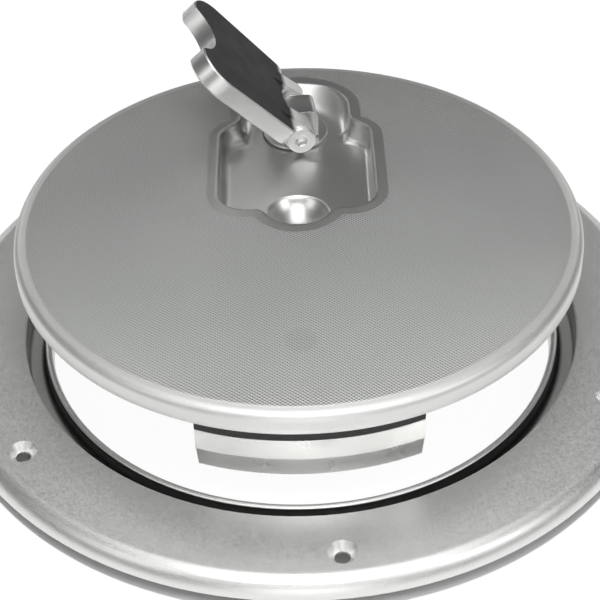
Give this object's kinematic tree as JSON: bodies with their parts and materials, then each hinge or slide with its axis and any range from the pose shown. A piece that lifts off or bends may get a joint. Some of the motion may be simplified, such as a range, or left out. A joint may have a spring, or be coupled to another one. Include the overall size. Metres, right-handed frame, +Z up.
{
  "type": "deck inspection plate",
  "caption": "Round deck inspection plate: a screwed-down flange ring with a drain channel, and a domed lift-off cover with a front tongue, a flush pocket and a folding turn handle.",
  "frame": {"origin": "on the ring's axis, at the underside of its drain channel", "axes": "+Z up out of the deck along the ring's axis; the spindle and pocket are towards +Y and the front tongue towards -Y; +X to the right seen from the front"},
  "size_m": [0.33, 0.33, 0.1271],
  "materials": {
    "ring_steel": "satin, fine grain",
    "cover_steel": "satin with a fine embossed diamond pattern",
    "bright_steel": "polished",
    "handle_metal": "polished",
    "rubber": "matt black",
    "nylon": "matt off-white"
  },
  "bodies": {
    "ring": {"frame_ring": "ring_steel"},
    "cover": {"cover_plate": "cover_steel", "cover_gasket": "rubber", "front_tongue": "bright_steel", "tongue_pad": "rubber", "tongue_stud": "bright_steel", "tongue_washer": "bright_steel", "tongue_nut": "bright_steel", "spindle_housing": "bright_steel", "housing_gasket": "rubber", "stop_plate": "bright_steel", "housing_washer": "bright_steel", "housing_nut": "bright_steel", "thrust_washer": "nylon"},
    "spindle": {"spindle": "bright_steel", "spindle_o_rings": "rubber", "fork_washers": "nylon", "arm_bearing": "nylon", "latch_arm": "bright_steel", "stop_pin": "bright_steel", "spring_washer": "bright_steel", "arm_washer": "bright_steel", "arm_nut": "bright_steel"},
    "handle": {"turn_handle": "handle_metal", "pivot_pin": "bright_steel"}
  },
  "joints": [
    {"name": "cover_lift", "type": "slide", "parent": "ring", "child": "cover", "axis": [0, 0, 1], "range_m": [-0.054, 0.04]},
    {"name": "handle_turn", "type": "hinge", "parent": "cover", "child": "spindle", "pos_m": [0, 0.075, 0.0735], "axis": [0, 0, 1], "range_deg": [-7.5, 82.5]},
    {"name": "handle_fold", "type": "hinge", "parent": "spindle", "child": "handle", "pos_m": [0, 0.075, 0.0735], "axis": [-0.1305, 0.9914, 0], "range_deg": [-20, 42]}
  ]
}
